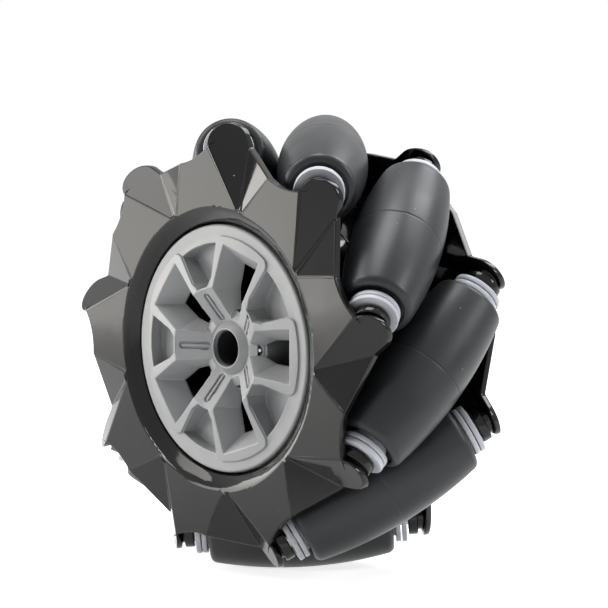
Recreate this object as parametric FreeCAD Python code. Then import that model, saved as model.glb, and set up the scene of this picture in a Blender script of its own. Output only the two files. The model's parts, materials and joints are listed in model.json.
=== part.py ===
import FreeCAD, Part
import math
import os

# A mecanum wheel for a small robot, in millimetres.
# The origin is the wheel's centre. The wheel turns about Y and its decorated side faces -Y.
# Angles about the wheel are counted in degrees from +X towards +Z.

V = FreeCAD.Vector

# Wheel and rollers
WHEEL_DIAMETER = 80.0
ROLLER_COUNT = 9
ROLLER_TILT = 45.0
FIRST_ROLLER_AT = 35.0
ROLLER_GAP = 0.2
TYRE_TAPER = 1.84
TYRE_CORNER_R = 1.3
TYRE_RECESS_DEPTH = 0.8
TYRE_RECESS_MARGIN = 0.45

# Roller core, washers and pin
CORE_TUBE_R = 3.3
CORE_FLANGE_R = 4.4
CORE_FLANGE_THICK = 0.9
CORE_FLANGE_STANDOFF = 0.4
WASHER_R = 4.4
WASHER_THICK = 0.9
WASHER_GAP = 0.2
PIN_R = 1.5
PIN_CLEARANCE = 0.06
PIN_END_MARGIN = 0.9

# Ears that carry the pins
EAR_GAP = 0.25
EAR_R = 3.45
EAR_DEPTH = 3.1
EAR_LEAN = 1.3
EAR_SHOULDER_DROP = 2.55
EAR_RIDGE_LIFT = 0.6
EAR_BOSS_R = 2.4
EAR_RIB_THICK = 1.0

# Folded shells
SHELL_WALL = 1.4
DRUM_WALL = 1.5
DRUM_CLEARANCE = 0.7
BAND_WIDTH = 3.0
BAND_CROWN = 0.45
APEX_SINK = 0.8
VALLEY_SPAN = 17.0
BROW_SPAN = 12.4
BROW_LIFT = 1.0
BROW_PROUD = 0.05
BROW_SAG = 0.6
RIDGE_FILLET = 0.7
BROW_FILLET = 1.0
VALLEY_FILLET = 0.5

# Grey rim insert
RIM_GAP = 0.4
RIM_SETBACK = 1.6
RIM_BAND_WIDTH = 1.9
RIM_EDGE_CHAMFER = 0.3
RIM_CROWN = 1.15
RIM_CROWN_AT = 10.7
RIM_DISH_DEPTH = 3.4
RIM_SKIRT_DEPTH = 7.4
RIM_SKIRT_WALL = 1.5
FRAME_RISE = 0.35
FRAME_ROOT_R = 12.3
FRAME_FOOT_HALF = 5.1
FRAME_CORNER_HALF = 6.9
FRAME_CORNER_R = 1.6

# Windows and pockets of the rim
WINDOW_COUNT = 5
WINDOW_MARGIN = 2.1
WINDOW_OUTER_HALF = 4.6
WINDOW_INNER_AT = 9.5
WINDOW_INNER_HALF = 3.8
WINDOW_THROAT_SLOPE = 2.8
WINDOW_THROAT_HALF = 2.3
WINDOW_THROAT_MIDDLE = 10.6
WINDOW_THROAT_WAIST = 2.1
WINDOW_THROAT_FOOT = 7.6
WINDOW_FOOT_HALF = 0.9
WINDOW_FOOT_MARGIN = 0.6
POCKET_DEPTH = 2.0
POCKET_INNER_AT = 11.4
POCKET_INNER_HALF = 1.5
POCKET_MARGIN = 1.8
POCKET_OUTER_HALF = 3.5
POCKET_FLOOR_INSET = 0.5
POCKET_FLOOR_SLOPE = 1.5
SLOT_FROM = 4.8
SLOT_TO = 8.6
SLOT_HALF = 0.65
SLOT_BAR_HALF = 0.28
SLOT_DEPTH = 0.4

# Hub
HUB_TUBE_R = 4.6
HUB_TUBE_CHAMFER = 0.3
HUB_BORE_R = 3.25
HUB_SETBACK = 1.0
HUB_BOSS_R = 8.0
HUB_BOSS_SETBACK = 3.4
HUB_JOINT_Y = 4.0
HEX_HUB_R = 8.5
HEX_HUB_FLANGE_R = 10.6
HEX_HUB_FLANGE_THICK = 2.0
HEX_HUB_SETBACK = 2.0
HEX_HUB_CHAMFER = 0.4
HEX_ACROSS_FLATS = 12.2
HEX_SOCKET_DEPTH = 6.0
AXLE_SCREW_R = 2.1
DRIVE_PIN_R = 0.8
DRIVE_PIN_CIRCLE_R = 6.05
DRIVE_PIN_SHOW = 0.4
DRIVE_PIN_DOME = 0.3
DRIVE_PIN_BITE = 5.0
DRIVE_PIN_SINK_R = 1.2
DRIVE_PIN_SINK_DEPTH = 0.5

# Rear web and the screws that join the shells
WEB_SETBACK = 5.0
WEB_THICK = 2.0
HEX_HUB_CLEARANCE = 0.05
LEDGE_THICK = 1.5
LEDGE_WIDTH = 3.4
POST_COUNT = 6
POST_INSET = 4.4
FIRST_POST_AT = 30.0
POST_R = 3.1
SCREW_R = 1.4
SCREW_CLEARANCE = 0.1
SCREW_HEAD_R = 2.5
SCREW_HEAD_HEIGHT = 1.6
SCREW_SOCKET_ACROSS = 2.0
SCREW_SOCKET_DEPTH = 1.0
SCREW_BITE = 6.0

# How far a cut or a joined wall runs past the face it meets
OVERLAP = 0.1
CUT_PAST = 1.0

# Search for the angle where the barrel ends
QUARTER_TURN = 90.0
ANGLE_STEP = 1e-6

# Which edges count as one fold: how long they are and how near its line
FOLD_MIN = 1.0
FOLD_REACH = 0.05


def pin_circle():
    """Radius of the circle through the rollers' middles, where neighbouring barrels are the gap apart.

    The ratio is half the distance between neighbouring pin axes over that radius."""
    half_step, tilt = math.pi / ROLLER_COUNT, math.radians(ROLLER_TILT)
    ratio = math.sin(half_step) / math.hypot(math.cos(half_step) * math.tan(tilt), 1)
    return (WHEEL_DIAMETER + ROLLER_GAP) / 2 / (1 + ratio)


PIN_CIRCLE_R = pin_circle()


def derived():
    """Places that follow from the driving dimensions above."""
    size = {}
    size["step"] = 360.0 / ROLLER_COUNT
    size["barrel_r"] = WHEEL_DIAMETER / 2 - PIN_CIRCLE_R
    size["tyre_end_r"] = size["barrel_r"] - TYRE_TAPER
    size["tyre_end"] = barrel_end(size["tyre_end_r"])
    size["flange_from"] = size["tyre_end"] + CORE_FLANGE_STANDOFF
    size["core_end"] = size["flange_from"] + CORE_FLANGE_THICK
    size["washer_from"] = size["core_end"] + WASHER_GAP
    size["washer_end"] = size["washer_from"] + WASHER_THICK
    size["ear_inner"] = size["washer_end"] + EAR_GAP
    size["ear_outer"] = size["ear_inner"] + EAR_DEPTH
    size["pin_end"] = size["ear_outer"] - PIN_END_MARGIN
    size["drum_r"] = PIN_CIRCLE_R - size["barrel_r"] - DRUM_CLEARANCE
    size["drum_bore"] = size["drum_r"] - DRUM_WALL
    size["band_r"] = size["drum_bore"] + BAND_WIDTH
    size["rim_r"] = size["drum_bore"] - RIM_GAP
    size["rim_band_r"] = size["rim_r"] - RIM_BAND_WIDTH
    size["post_circle_r"] = size["drum_bore"] - POST_INSET
    size["front"] = -ridge_point(size).y
    size["rim_front"] = -(size["front"] - RIM_SETBACK)
    size["rim_back"] = size["rim_front"] + RIM_SKIRT_DEPTH
    size["ledge_back"] = size["rim_back"] + LEDGE_THICK
    size["web_back"] = size["front"] - WEB_SETBACK
    size["web_front"] = size["web_back"] - WEB_THICK
    return size


def ear_point(u, w, depth):
    """A point beside the front end of the roller at angle zero.

    u is counted outwards and w rearwards from the pin axis, depth along the pin towards the front."""
    tilt = math.radians(ROLLER_TILT)
    y = -depth * math.cos(tilt) + w * math.sin(tilt)
    z = -depth * math.sin(tilt) - w * math.cos(tilt)
    return V(PIN_CIRCLE_R + u, y, z)


def ridge_point(size):
    """Where the ear's dome meets the lug's ridge, the frontmost corner of the shell."""
    w = -math.sqrt(EAR_R ** 2 - EAR_RIDGE_LIFT ** 2)
    return ear_point(EAR_RIDGE_LIFT, w, size["ear_outer"])


def polar(r, y, degrees):
    angle = math.radians(degrees)
    return V(r * math.cos(angle), y, r * math.sin(angle))


def angle_of(point):
    return math.degrees(math.atan2(point.z, point.x))


def turned(shape, degrees):
    """A copy of the shape, carried about the wheel's axis from +X towards +Z."""
    copy = shape.copy()
    copy.rotate(V(0, 0, 0), V(0, -1, 0), degrees)
    return copy


def turned_point(point, degrees):
    return turned(Part.Vertex(point), degrees).Point


def on_roller(shape):
    """Carry a shape made along Z to the roller at angle zero."""
    turn = FreeCAD.Rotation(V(1, 0, 0), ROLLER_TILT - 90)
    copy = shape.copy()
    copy.Placement = FreeCAD.Placement(V(PIN_CIRCLE_R, 0, 0), turn).multiply(copy.Placement)
    return copy


def plane_of(a, b, c):
    """A point and a normal of the plane through three points."""
    return a, (b - a).cross(c - a).normalize()


def dropped(point, direction, plane):
    """Where a line through the point, along the direction, meets the plane."""
    origin, normal = plane
    return point + direction * (normal.dot(origin - point) / normal.dot(direction))


def face_of(points):
    return Part.Face(Part.makePolygon(list(points) + [points[0]]))


def face_within(edges):
    return Part.Face(Part.Wire(edges))


def line(a, b):
    return Part.makeLine(a, b)


def arc(a, middle, b):
    return Part.Arc(a, middle, b).toShape()


def lathe_y(points):
    """Revolve an outline of (radius, y) points about the wheel's axis."""
    outline = face_of([V(r, y, 0) for r, y in points])
    return outline.revolve(V(0, 0, 0), V(0, 1, 0), 360)


def lathe_z(points):
    """Revolve an outline of (radius, z) points about Z."""
    outline = face_of([V(r, 0, z) for r, z in points])
    return outline.revolve(V(0, 0, 0), V(0, 0, 1), 360)


def cylinder_y(radius, y_from, y_to, x=0.0, z=0.0):
    return Part.makeCylinder(radius, y_to - y_from, V(x, y_from, z), V(0, 1, 0))


def fused(shapes):
    first = shapes[0]
    if len(shapes) == 1:
        return first
    return first.multiFuse(shapes[1:]).removeSplitter()


def tapered(rings):
    """Solid with flat ends through three or more rings of as many corners, joined by ruled sides."""
    faces = [face_of(rings[0]), face_of(rings[-1])]
    for near, far in zip(rings, rings[1:]):
        for i in range(len(near)):
            j = (i + 1) % len(near)
            faces.append(Part.makeRuledSurface(line(near[i], near[j]), line(far[i], far[j])))
    shell = Part.makeShell(faces)
    shell.sewShape()
    return Part.makeSolid(shell)


def mirrored_ring(half):
    """Half a ring of corners, closed by its mirror image across z = 0."""
    return half + [V(p.x, p.y, -p.z) for p in reversed(half)]


def barrel_point(degrees):
    """Half-length and radius of the barrel where it touches the wheel's outer cylinder, by the angle."""
    angle = math.radians(degrees)
    tilt = math.sin(math.radians(ROLLER_TILT))
    reach = WHEEL_DIAMETER / 2 - PIN_CIRCLE_R / math.cos(angle)
    along = PIN_CIRCLE_R * math.tan(angle) / tilt + reach * math.sin(angle) * tilt
    return along, reach * math.sqrt(1 - (math.sin(angle) * tilt) ** 2)


def barrel_end(end_r):
    """Half-length at which the barrel has narrowed to its end radius."""
    low, high = 0.0, QUARTER_TURN
    while high - low > ANGLE_STEP:
        middle = (low + high) / 2
        if barrel_point(middle)[1] > end_r:
            low = middle
        else:
            high = middle
    return barrel_point(low)[0]


def tyre(size):
    """Rubber sleeve with a barrel outline, rounded ends and a recess for the core's flange."""
    end = size["tyre_end"]
    recess_r = CORE_FLANGE_R + TYRE_RECESS_MARGIN
    front, back = V(size["tyre_end_r"], 0, -end), V(size["tyre_end_r"], 0, end)
    edges = [arc(front, V(size["barrel_r"], 0, 0), back), line(back, V(0, 0, end)),
             line(V(0, 0, end), V(0, 0, -end)), line(V(0, 0, -end), front)]
    solid = face_within(edges).revolve(V(0, 0, 0), V(0, 0, 1), 360)
    rims = [e for e in solid.Edges if e.Closed and abs(e.CenterOfMass.z) > end / 2]
    solid = solid.makeFillet(TYRE_CORNER_R, rims)
    for side in (-1, 1):
        recess = Part.makeCylinder(recess_r, TYRE_RECESS_DEPTH, V(0, 0, side * end), V(0, 0, -side))
        solid = solid.cut(recess)
    bore = Part.makeCylinder(CORE_TUBE_R, 2 * end, V(0, 0, -end))
    return solid.cut(bore)


def core(size):
    """Plastic tube with a flange at each end, which turns on the pin."""
    bore = PIN_R + PIN_CLEARANCE
    end = size["core_end"]
    foot = size["flange_from"]
    return lathe_z([(bore, -end), (CORE_FLANGE_R, -end), (CORE_FLANGE_R, -foot), (CORE_TUBE_R, -foot),
                    (CORE_TUBE_R, foot), (CORE_FLANGE_R, foot), (CORE_FLANGE_R, end), (bore, end)])


def washers(size):
    """Two loose washers that keep the core off the ears."""
    pair = []
    for side in (-1, 1):
        near, far = side * size["washer_from"], side * size["washer_end"]
        bore = PIN_R + PIN_CLEARANCE
        pair.append(lathe_z([(bore, near), (WASHER_R, near), (WASHER_R, far), (bore, far)]))
    return Part.makeCompound(pair)


def pin(size):
    """Steel pin pressed into the two ears."""
    end = size["pin_end"]
    return Part.makeCylinder(PIN_R, 2 * end, V(0, 0, -end))


def lug(size):
    """Corners of one folded lug of the front shell, for the roller at angle zero.

    The apexes lie under the crowned band, so that the folds run out into it."""
    ridge = ridge_point(size)
    shoulder = ear_point(-EAR_SHOULDER_DROP, EAR_R, size["ear_outer"] + EAR_LEAN)
    apex = polar(size["band_r"] - APEX_SINK, ridge.y + BAND_CROWN, angle_of(ridge) - VALLEY_SPAN)
    next_apex = turned_point(apex, size["step"])
    next_shoulder = turned_point(shoulder, size["step"])
    brow = polar(PIN_CIRCLE_R + BROW_LIFT, ridge.y - BROW_PROUD, angle_of(ridge) + BROW_SPAN)
    fold = plane_of(apex, ridge, brow)[1].cross(plane_of(next_apex, brow, next_shoulder)[1])
    brow_foot = dropped(brow, fold, plane_of(apex, next_apex, apex + V(0, 1, 0)))
    return {"ridge": ridge, "shoulder": shoulder, "apex": apex, "brow": brow, "brow_foot": brow_foot,
            "next_apex": next_apex, "next_shoulder": next_shoulder}


def lug_walls(size):
    """Folded wall of one lug: the ear's domed face, the front face and the face down to the next ear."""
    at = lug(size)
    ridge, shoulder, apex, brow = at["ridge"], at["shoulder"], at["apex"], at["brow"]
    along_pin = ear_point(0, 0, 1) - ear_point(0, 0, 0)
    dome_plane = plane_of(apex, ridge, shoulder)
    crest = dropped(ear_point(EAR_R, 0, 0), along_pin, dome_plane)
    dome_end = dropped(ear_point(0, EAR_R, 0), along_pin, dome_plane)
    dip = (ridge + brow) * 0.5
    dip = dip - V(dip.x, 0, dip.z).normalize() * BROW_SAG
    dip = dropped(dip, V(0, 1, 0), plane_of(apex, ridge, brow))
    ear_face = face_within([line(apex, shoulder), line(shoulder, dome_end), arc(dome_end, crest, ridge),
                            line(ridge, apex)])
    front_face = face_within([line(apex, ridge), arc(ridge, dip, brow), line(brow, at["brow_foot"]),
                              line(at["brow_foot"], apex)])
    side_face = face_of([at["next_apex"], at["brow_foot"], brow, at["next_shoulder"]])
    return [face.extrude(V(0, SHELL_WALL, 0)) for face in (ear_face, front_face, side_face)]


def pin_boss(size):
    """Boss behind the ear's face that takes the pin's end, with a rib down to the drum."""
    start, end = size["ear_inner"], size["ear_outer"]
    boss = Part.makeCylinder(EAR_BOSS_R, end - start, V(0, 0, -end))
    sideways = end * math.sin(math.radians(ROLLER_TILT))
    foot = PIN_CIRCLE_R - math.sqrt(size["drum_r"] ** 2 - sideways ** 2)
    rib = Part.makeBox(foot, EAR_RIB_THICK, end - start, V(-foot, -EAR_RIB_THICK / 2, -end))
    return on_roller(boss.fuse(rib))


def pin_seat(size):
    """Blind hole for the pin's end."""
    depth = size["pin_end"] - size["ear_inner"] + CUT_PAST
    return on_roller(Part.makeCylinder(PIN_R, depth, V(0, 0, -size["pin_end"])))


def front_band(size):
    """Crowned ring round the rim, with the drum wall behind it."""
    front = -size["front"]
    bore, drum, band = size["drum_bore"], size["drum_r"], size["band_r"]
    edge = front + BAND_CROWN
    shoulder = edge + SHELL_WALL
    edges = [arc(V(bore, edge, 0), V((bore + band) / 2, front, 0), V(band, edge, 0)),
             line(V(band, edge, 0), V(band, shoulder, 0)),
             line(V(band, shoulder, 0), V(drum, shoulder + band - drum, 0)),
             line(V(drum, shoulder + band - drum, 0), V(drum, 0, 0)),
             line(V(drum, 0, 0), V(bore, 0, 0)), line(V(bore, 0, 0), V(bore, edge, 0))]
    return face_within(edges).revolve(V(0, 0, 0), V(0, 1, 0), 360)


def half_shell(size):
    """Band, drum wall, folded lugs and ears, which the front and rear shells have in common."""
    pieces = [front_band(size)]
    for index in range(ROLLER_COUNT):
        at = FIRST_ROLLER_AT + index * size["step"]
        pieces += [turned(piece, at) for piece in lug_walls(size) + [pin_boss(size)]]
    body = fused(pieces)
    seats = [turned(pin_seat(size), FIRST_ROLLER_AT + i * size["step"]) for i in range(ROLLER_COUNT)]
    return body.cut(Part.makeCompound(seats))


def distance_to_line(point, a, b):
    along = b - a
    share = max(0.0, min(1.0, (point - a).dot(along) / along.dot(along)))
    return (point - a - along * share).Length


def edges_between(shape, start, end):
    """Edges of the shape that lie on the straight fold from start to end, on every lug."""
    found = []
    for index in range(ROLLER_COUNT):
        at = FIRST_ROLLER_AT + index * 360.0 / ROLLER_COUNT
        a, b = turned_point(start, at), turned_point(end, at)
        for edge in shape.Edges:
            middle = edge.valueAt((edge.FirstParameter + edge.LastParameter) / 2)
            points = [vertex.Point for vertex in edge.Vertexes] + [middle]
            if edge.Length > FOLD_MIN and all(distance_to_line(p, a, b) < FOLD_REACH for p in points):
                found.append(edge)
    return found


def softened(body, size):
    """The shell's body with its folds rounded: the ridge, the brow and the valley of every lug."""
    at = lug(size)
    folds = [("apex", "ridge", RIDGE_FILLET), ("brow_foot", "brow", BROW_FILLET),
             ("apex", "shoulder", VALLEY_FILLET)]
    for start, end, radius in folds:
        body = body.makeFillet(radius, edges_between(body, at[start], at[end]))
    return body


def post_places(size):
    return [polar(size["post_circle_r"], 0, 360.0 * i / POST_COUNT + FIRST_POST_AT)
            for i in range(POST_COUNT)]


def front_shell(size, half):
    """Front shell with the ledge that the rim seats on and the bosses that take the screws."""
    bore = size["drum_bore"]
    ledge = lathe_y([(bore - LEDGE_WIDTH, size["rim_back"]), (bore + OVERLAP, size["rim_back"]),
                     (bore + OVERLAP, size["ledge_back"]), (bore - LEDGE_WIDTH, size["ledge_back"])])
    bosses = [cylinder_y(POST_R, size["rim_back"], 0, p.x, p.z) for p in post_places(size)]
    holes = [cylinder_y(SCREW_R, -SCREW_BITE, CUT_PAST, p.x, p.z) for p in post_places(size)]
    return fused([half, ledge] + bosses).cut(Part.makeCompound(holes))


def rear_shell(size, half):
    """Rear shell: the same lugs, turned over about a roller's middle, with a web and screw posts."""
    turn = half.copy()
    turn.rotate(V(0, 0, 0), polar(1, 0, FIRST_ROLLER_AT), 180)
    hub_hole = HEX_HUB_R + HEX_HUB_CLEARANCE
    bore, front, back = size["drum_bore"], size["web_front"], size["web_back"]
    web = lathe_y([(hub_hole, front), (bore + OVERLAP, front), (bore + OVERLAP, back), (hub_hole, back)])
    posts = [cylinder_y(POST_R, 0, back, p.x, p.z) for p in post_places(size)]
    body = fused([turn, web] + posts)
    through, sink_r, past = SCREW_R + SCREW_CLEARANCE, SCREW_HEAD_R + SCREW_CLEARANCE, back + CUT_PAST
    holes = [cylinder_y(through, -CUT_PAST, past, p.x, p.z) for p in post_places(size)]
    sinks = [cylinder_y(sink_r, back - SCREW_HEAD_HEIGHT, past, p.x, p.z) for p in post_places(size)]
    return body.cut(Part.makeCompound(holes)).cut(Part.makeCompound(sinks))


def hexagon_prism(across, y_from, y_to, x=0.0, z=0.0):
    sides = 6
    corner_r = across / 2 / math.cos(math.pi / sides)
    corners = [polar(corner_r, y_from, 360.0 * i / sides) + V(x, 0, z) for i in range(sides)]
    return face_of(corners).extrude(V(0, y_to - y_from, 0))


def shell_screws(size):
    """Socket screws that hold the two shells together, one in each post."""
    back = size["web_back"]
    screws = []
    for p in post_places(size):
        shank = cylinder_y(SCREW_R, -SCREW_BITE, back - SCREW_HEAD_HEIGHT, p.x, p.z)
        head = cylinder_y(SCREW_HEAD_R, back - SCREW_HEAD_HEIGHT, back, p.x, p.z)
        socket = hexagon_prism(SCREW_SOCKET_ACROSS, back - SCREW_SOCKET_DEPTH, back + CUT_PAST, p.x, p.z)
        screws.append(shank.fuse(head).removeSplitter().cut(socket))
    return Part.makeCompound(screws)


def rim_profile(size, rise):
    """Front outline of the rim from the tube over the crown to the flat ring, proud by rise."""
    front = size["rim_front"] - rise
    return [(HUB_TUBE_R - OVERLAP, front + HUB_SETBACK), (RIM_CROWN_AT, front - RIM_CROWN),
            (size["rim_band_r"], front)]


def window(size):
    """Funnel of the rim window at angle zero, from its wide mouth to its throat, and on through the dish."""
    front = size["rim_front"] - FRAME_RISE
    above = front - RIM_CROWN - CUT_PAST
    back = size["rim_front"] + RIM_DISH_DEPTH - OVERLAP
    outer = size["rim_band_r"] - WINDOW_MARGIN
    mouth = [V(outer, front, WINDOW_OUTER_HALF), V(WINDOW_INNER_AT, front - RIM_CROWN, WINDOW_INNER_HALF),
             V(HUB_TUBE_R + WINDOW_FOOT_MARGIN, front + HUB_SETBACK, WINDOW_FOOT_HALF)]
    throat = [V(outer - WINDOW_THROAT_SLOPE, back, WINDOW_THROAT_HALF),
              V(WINDOW_THROAT_MIDDLE, back, WINDOW_THROAT_WAIST),
              V(WINDOW_THROAT_FOOT, back, WINDOW_FOOT_HALF)]
    start = [foot + (lip - foot) * ((above - foot.y) / (lip.y - foot.y)) for lip, foot in zip(mouth, throat)]
    end = [point + V(0, RIM_DISH_DEPTH, 0) for point in throat]
    return tapered([mirrored_ring(ring) for ring in (start, throat, end)])


def pocket(size):
    """Trapezoid hollow between the two branches of a spoke, at angle zero, with sloping sides."""
    top = size["rim_front"] - FRAME_RISE - RIM_CROWN
    lip = size["rim_front"]
    floor = lip + POCKET_DEPTH
    outer = size["rim_band_r"] - POCKET_MARGIN
    mouth = [V(outer, lip, POCKET_OUTER_HALF), V(POCKET_INNER_AT, lip, POCKET_INNER_HALF)]
    above = [V(p.x, top, p.z) for p in mouth]
    foot = [V(outer - POCKET_FLOOR_SLOPE, floor, POCKET_OUTER_HALF - 2 * POCKET_FLOOR_INSET),
            V(POCKET_INNER_AT + POCKET_FLOOR_INSET, floor, POCKET_INNER_HALF - POCKET_FLOOR_INSET)]
    return tapered([mirrored_ring(ring) for ring in (above, mouth, foot)])


def frame_prism(size):
    """Outline of the raised frame round the window at angle zero, as a prism through the rim's front."""
    top = size["rim_front"] - RIM_CROWN - FRAME_RISE - CUT_PAST
    radius = size["rim_band_r"]
    foot = V(0, top, FRAME_FOOT_HALF)
    knee = V(POCKET_INNER_AT, top, FRAME_FOOT_HALF)
    corner = V(math.sqrt(radius ** 2 - FRAME_CORNER_HALF ** 2), top, FRAME_CORNER_HALF)
    half = [foot, knee, corner]
    ring = mirrored_ring(half)
    edges = [line(a, b) for a, b in zip(half, half[1:])] + [arc(corner, V(radius, top, 0), ring[3])]
    edges += [line(ring[3], ring[4]), line(ring[4], ring[5]), line(ring[5], foot)]
    prism = face_within(edges).extrude(V(0, RIM_DISH_DEPTH - top + size["rim_front"] - OVERLAP, 0))
    outer = [e for e in prism.Edges
             if e.BoundBox.YLength > RIM_DISH_DEPTH and e.CenterOfMass.x > corner.x - OVERLAP]
    return prism.makeFillet(FRAME_CORNER_R, outer)


def slot(size):
    """Groove round a raised bar, from the tube outwards, at angle zero."""
    top = size["rim_front"] - RIM_CROWN - FRAME_RISE

    def stadium(half, to):
        box = Part.makeBox(to - half - SLOT_FROM, RIM_CROWN + SLOT_DEPTH, 2 * half, V(SLOT_FROM, top, -half))
        return box.fuse(cylinder_y(half, top, top + RIM_CROWN + SLOT_DEPTH, to - half))

    groove = SLOT_HALF - SLOT_BAR_HALF
    return stadium(SLOT_HALF, SLOT_TO).cut(stadium(SLOT_BAR_HALF, SLOT_TO - groove))


def hub_rim(size):
    """Grey insert: ring, five double spokes round five windows, skirt, boss and centre tube in one piece."""
    front, back = size["rim_front"], size["rim_back"]
    radius = size["rim_r"]
    dish_back = front + RIM_DISH_DEPTH
    inner = (HUB_TUBE_R - OVERLAP, dish_back)
    skirt_r = radius - RIM_SKIRT_WALL
    disc = lathe_y(rim_profile(size, 0) + [(radius - RIM_EDGE_CHAMFER, front),
                                           (radius, front + RIM_EDGE_CHAMFER), (radius, back),
                                           (skirt_r, back), (skirt_r, dish_back), inner])
    raised = lathe_y(rim_profile(size, FRAME_RISE) + [(size["rim_band_r"], dish_back), inner])
    step = 360.0 / WINDOW_COUNT
    frames = [turned(frame_prism(size), i * step) for i in range(WINDOW_COUNT)]
    centre = cylinder_y(FRAME_ROOT_R, front - RIM_CROWN - CUT_PAST, dish_back)
    frames = fused(frames + [centre])
    disc = disc.fuse(raised.common(frames))
    cuts = []
    for i in range(WINDOW_COUNT):
        cuts += [turned(window(size), i * step), turned(pocket(size), (i + 0.5) * step)]
    disc = disc.cut(Part.makeCompound(cuts))
    boss = cylinder_y(HUB_BOSS_R, front + HUB_BOSS_SETBACK, HUB_JOINT_Y)
    tube_front = front + HUB_SETBACK - FRAME_RISE
    tube = lathe_y([(0, tube_front), (HUB_TUBE_R - HUB_TUBE_CHAMFER, tube_front),
                    (HUB_TUBE_R, tube_front + HUB_TUBE_CHAMFER), (HUB_TUBE_R, HUB_JOINT_Y), (0, HUB_JOINT_Y)])
    body = fused([disc, boss, tube])
    cuts = [turned(slot(size), (i + 0.5) * step) for i in range(WINDOW_COUNT)]
    for i in range(WINDOW_COUNT):
        p = polar(DRIVE_PIN_CIRCLE_R, 0, i * step)
        boss_front = front + HUB_BOSS_SETBACK
        cuts.append(cylinder_y(DRIVE_PIN_R, boss_front - CUT_PAST, HUB_JOINT_Y + CUT_PAST, p.x, p.z))
        cuts.append(cylinder_y(DRIVE_PIN_SINK_R, boss_front - CUT_PAST, boss_front + DRIVE_PIN_SINK_DEPTH,
                               p.x, p.z))
    cuts.append(cylinder_y(HUB_BORE_R, front - CUT_PAST, HUB_JOINT_Y + CUT_PAST))
    return body.cut(Part.makeCompound(cuts))


def drive_pins(size):
    """Pins that key the rim's boss to the hex hub; their rounded ends show in the windows."""
    top = size["rim_front"] + HUB_BOSS_SETBACK - DRIVE_PIN_SHOW
    outline = [(0, top), (DRIVE_PIN_R - DRIVE_PIN_DOME, top), (DRIVE_PIN_R, top + DRIVE_PIN_DOME),
               (DRIVE_PIN_R, HUB_JOINT_Y + DRIVE_PIN_BITE), (0, HUB_JOINT_Y + DRIVE_PIN_BITE)]
    pins = []
    for i in range(WINDOW_COUNT):
        one = lathe_y(outline)
        one.translate(polar(DRIVE_PIN_CIRCLE_R, 0, 360.0 * i / WINDOW_COUNT))
        pins.append(one)
    return Part.makeCompound(pins)


def hex_hub(size):
    """Hub with a hexagonal socket, which takes the drive hex of a motor shaft."""
    back = size["front"] - HEX_HUB_SETBACK
    flange_to = size["web_front"]
    flange_from = flange_to - HEX_HUB_FLANGE_THICK
    body = lathe_y([(AXLE_SCREW_R, HUB_JOINT_Y), (HEX_HUB_R, HUB_JOINT_Y), (HEX_HUB_R, flange_from),
                    (HEX_HUB_FLANGE_R, flange_from), (HEX_HUB_FLANGE_R, flange_to), (HEX_HUB_R, flange_to),
                    (HEX_HUB_R, back - HEX_HUB_CHAMFER), (HEX_HUB_R - HEX_HUB_CHAMFER, back),
                    (AXLE_SCREW_R, back)])
    body = body.cut(hexagon_prism(HEX_ACROSS_FLATS, back - HEX_SOCKET_DEPTH, back + CUT_PAST))
    for i in range(WINDOW_COUNT):
        p = polar(DRIVE_PIN_CIRCLE_R, 0, 360.0 * i / WINDOW_COUNT)
        body = body.cut(cylinder_y(DRIVE_PIN_R, HUB_JOINT_Y - CUT_PAST, HUB_JOINT_Y + DRIVE_PIN_BITE,
                                   p.x, p.z))
    return body


def save(name, shape):
    shape.exportStep(os.path.join("parts", name + ".step"))


def main():
    os.makedirs("parts", exist_ok=True)
    size = derived()
    half = softened(half_shell(size), size)
    save("front_shell", front_shell(size, half))
    save("rear_shell", rear_shell(size, half))
    save("shell_screws", shell_screws(size))
    save("hub_rim", hub_rim(size))
    save("drive_pins", drive_pins(size))
    save("hex_hub", hex_hub(size))
    makers = {"roller_tyre": tyre, "roller_core": core, "roller_washers": washers, "roller_pin": pin}
    for name, maker in makers.items():
        piece = on_roller(maker(size))
        for index in range(ROLLER_COUNT):
            at = FIRST_ROLLER_AT + index * size["step"]
            save("%s_%d" % (name, index + 1), turned(piece, at))


main()
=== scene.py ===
"""The looks of a small mecanum wheel: two folded gloss shells, a satin insert and nine free rollers."""

import json
import logging
import math
from dataclasses import dataclass, field
from enum import Enum

import bpy
from mathutils import Matrix, Vector


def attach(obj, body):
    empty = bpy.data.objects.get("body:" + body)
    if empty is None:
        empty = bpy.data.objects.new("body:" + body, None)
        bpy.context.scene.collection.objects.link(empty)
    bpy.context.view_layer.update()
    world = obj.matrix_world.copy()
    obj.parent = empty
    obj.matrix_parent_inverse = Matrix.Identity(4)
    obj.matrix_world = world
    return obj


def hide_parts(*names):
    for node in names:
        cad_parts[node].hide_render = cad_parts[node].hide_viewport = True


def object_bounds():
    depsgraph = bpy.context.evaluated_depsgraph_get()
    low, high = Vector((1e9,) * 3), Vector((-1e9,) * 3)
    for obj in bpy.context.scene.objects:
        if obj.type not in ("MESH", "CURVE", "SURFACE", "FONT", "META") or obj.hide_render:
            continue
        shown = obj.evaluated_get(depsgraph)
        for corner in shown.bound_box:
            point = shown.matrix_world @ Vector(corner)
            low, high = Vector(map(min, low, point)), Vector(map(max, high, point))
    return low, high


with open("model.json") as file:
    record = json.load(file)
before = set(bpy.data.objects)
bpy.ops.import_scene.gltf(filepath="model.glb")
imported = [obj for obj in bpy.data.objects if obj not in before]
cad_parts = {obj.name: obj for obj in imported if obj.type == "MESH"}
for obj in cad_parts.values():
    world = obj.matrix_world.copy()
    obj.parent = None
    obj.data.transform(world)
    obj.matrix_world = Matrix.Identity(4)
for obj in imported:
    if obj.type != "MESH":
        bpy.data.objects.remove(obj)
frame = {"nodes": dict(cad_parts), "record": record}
CAD_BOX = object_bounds()

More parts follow.
